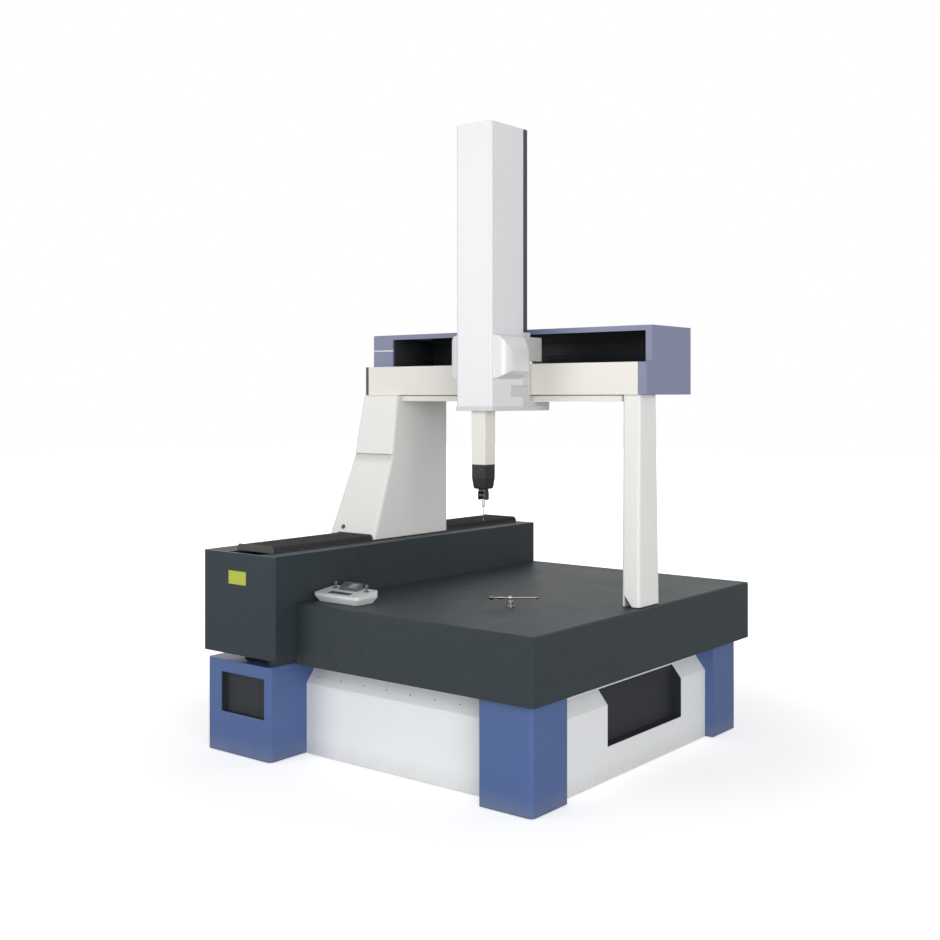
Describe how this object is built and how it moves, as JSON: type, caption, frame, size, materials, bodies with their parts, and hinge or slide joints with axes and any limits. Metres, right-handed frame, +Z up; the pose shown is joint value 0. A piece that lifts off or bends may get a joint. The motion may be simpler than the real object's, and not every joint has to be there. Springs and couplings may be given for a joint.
{
  "type": "coordinate measuring machine",
  "caption": "Moving-bridge coordinate measuring machine: granite table on a clad base, bridge along Y, carriage along X, ram with probe head along Z.",
  "frame": {"origin": "on the floor, at the bottom centre of the machine's bounding box at rest", "axes": "+X along the beam, to the side away from the raised guide; +Y from the machine's front to its back; +Z up"},
  "size_m": [1.79, 1.9014, 2.77],
  "materials": {
    "frame_paint": "matt powder coat",
    "steel": "turned",
    "isolator_rubber": "matt",
    "cover_white": "fine powder coat",
    "recess_black": "matt",
    "screw_black": "blackened",
    "granite": "fine ground",
    "end_cover": "smooth paint",
    "plate_yellow": "printed film",
    "bellows_black": "coated fabric",
    "blue_paint": "fine powder coat",
    "leg_white": "fine powder coat",
    "bearing_steel": "ground",
    "ceramic_cream": "ground",
    "hood_blue": "fine powder coat",
    "belt_black": "matt",
    "motor_black": "matt",
    "scale_steel": "satin",
    "carriage_grey": "fine powder coat",
    "cover_gloss": "smooth paint",
    "back_navy": "smooth paint",
    "plate_grey": "fine powder coat",
    "head_grey": "anodised",
    "knuckle_black": "anodised",
    "probe_grey": "satin",
    "stylus_steel": "polished",
    "pendant_blue": "fine texture",
    "pendant_dark": "fine texture",
    "key_grey": "matt",
    "stick_black": "matt",
    "ball_steel": "polished",
    "bar_dark": "polished"
  },
  "bodies": {
    "base": {"base_frame": "frame_paint", "levelling_feet": "steel", "isolators": "isolator_rubber", "right_corner_covers": "blue_paint", "left_corner_covers": "blue_paint", "front_panel": "cover_white", "back_panel": "cover_white", "right_panel": "cover_white", "left_panel": "cover_white", "recess_trays": "recess_black", "panel_screws": "screw_black", "granite_table": "granite", "table_inserts": "steel", "y_guideway": "granite", "guide_end_covers": "end_cover", "blank_plate": "plate_yellow", "bellows_front": "bellows_black", "bellows_back": "bellows_black", "bellows_fixed_plates": "motor_black", "pendant_lower_shell": "pendant_dark", "pendant_upper_shell": "pendant_blue", "pendant_display": "pendant_dark", "pendant_keypad": "key_grey", "ball_stand": "ball_steel", "ball_bar": "bar_dark"},
    "bridge": {"left_leg": "leg_white", "leg_truck": "bearing_steel", "bridge_air_bearings": "bearing_steel", "bellows_moving_plates": "motor_black", "right_column": "leg_white", "beam": "ceramic_cream", "beam_end_cap": "motor_black", "lower_rail": "ceramic_cream", "hood": "hood_blue", "hood_ends": "hood_blue", "recess_lining": "recess_black", "x_drive_belt": "belt_black", "x_drive_motor": "motor_black", "x_scale": "scale_steel"},
    "drive_pulley": {"x_drive_pulley": "bearing_steel"},
    "idler_pulley": {"x_idler_pulley": "bearing_steel"},
    "carriage": {"carriage_body": "carriage_grey", "z_cover": "cover_gloss", "z_cover_back": "back_navy", "bottom_plate": "plate_grey", "side_fairings": "cover_gloss", "carriage_air_bearings": "bearing_steel", "z_balance_cylinder": "steel"},
    "z_ram": {"ram": "ceramic_cream", "z_balance_rod": "steel", "probe_head": "head_grey"},
    "rotor": {"head_rotor": "knuckle_black"},
    "knuckle": {"probe_knuckle": "knuckle_black", "touch_probe": "probe_grey", "stylus": "stylus_steel"},
    "left_ring": {"left_gimbal": "steel"},
    "left_stick": {"left_joystick": "stick_black"},
    "right_ring": {"right_gimbal": "steel"},
    "right_stick": {"right_joystick": "stick_black"}
  },
  "joints": [
    {"name": "y_slide", "type": "slide", "parent": "base", "child": "bridge", "axis": [0, 1, 0], "range_m": [-0.5, 0.48], "deforming": ["bellows_front", "bellows_back"]},
    {"name": "x_slide", "type": "slide", "parent": "bridge", "child": "carriage", "axis": [1, 0, 0], "range_m": [-0.48, 0.42]},
    {"name": "drive_pulley_turn", "type": "hinge", "parent": "bridge", "child": "drive_pulley", "pos_m": [0.81, 0.22575, 1.808], "axis": [0, -1, 0], "continuous": true},
    {"name": "idler_pulley_turn", "type": "hinge", "parent": "bridge", "child": "idler_pulley", "pos_m": [-0.615, 0.22575, 1.808], "axis": [0, -1, 0], "continuous": true},
    {"name": "z_slide", "type": "slide", "parent": "carriage", "child": "z_ram", "axis": [0, 0, 1], "range_m": [-0.34, 0.22]},
    {"name": "head_turn", "type": "hinge", "parent": "z_ram", "child": "rotor", "pos_m": [0.2095, -0.27325, 1.188], "axis": [0, 0, 1], "range_deg": [-180, 180]},
    {"name": "head_tilt", "type": "hinge", "parent": "rotor", "child": "knuckle", "pos_m": [0.2095, -0.27325, 1.158], "axis": [-1, 0, 0], "range_deg": [0, 105]},
    {"name": "left_stick_pitch", "type": "hinge", "parent": "base", "child": "left_ring", "pos_m": [-0.333, -0.63425, 0.73566], "axis": [1, 0, 0], "range_deg": [-15, 15], "stiffness_Nm_per_rad": 0.2},
    {"name": "left_stick_roll", "type": "hinge", "parent": "left_ring", "child": "left_stick", "pos_m": [-0.333, -0.63425, 0.73566], "axis": [0, 1, 0], "range_deg": [-15, 15], "stiffness_Nm_per_rad": 0.2},
    {"name": "right_stick_pitch", "type": "hinge", "parent": "base", "child": "right_ring", "pos_m": [-0.148, -0.63425, 0.73566], "axis": [1, 0, 0], "range_deg": [-15, 15], "stiffness_Nm_per_rad": 0.2},
    {"name": "right_stick_roll", "type": "hinge", "parent": "right_ring", "child": "right_stick", "pos_m": [-0.148, -0.63425, 0.73566], "axis": [0, 1, 0], "range_deg": [-15, 15], "stiffness_Nm_per_rad": 0.2}
  ],
  "couplings": [
    {"joint": "drive_pulley_turn", "follows": "x_slide", "rad_per_m": 31.447},
    {"joint": "idler_pulley_turn", "follows": "x_slide", "rad_per_m": 31.447}
  ]
}
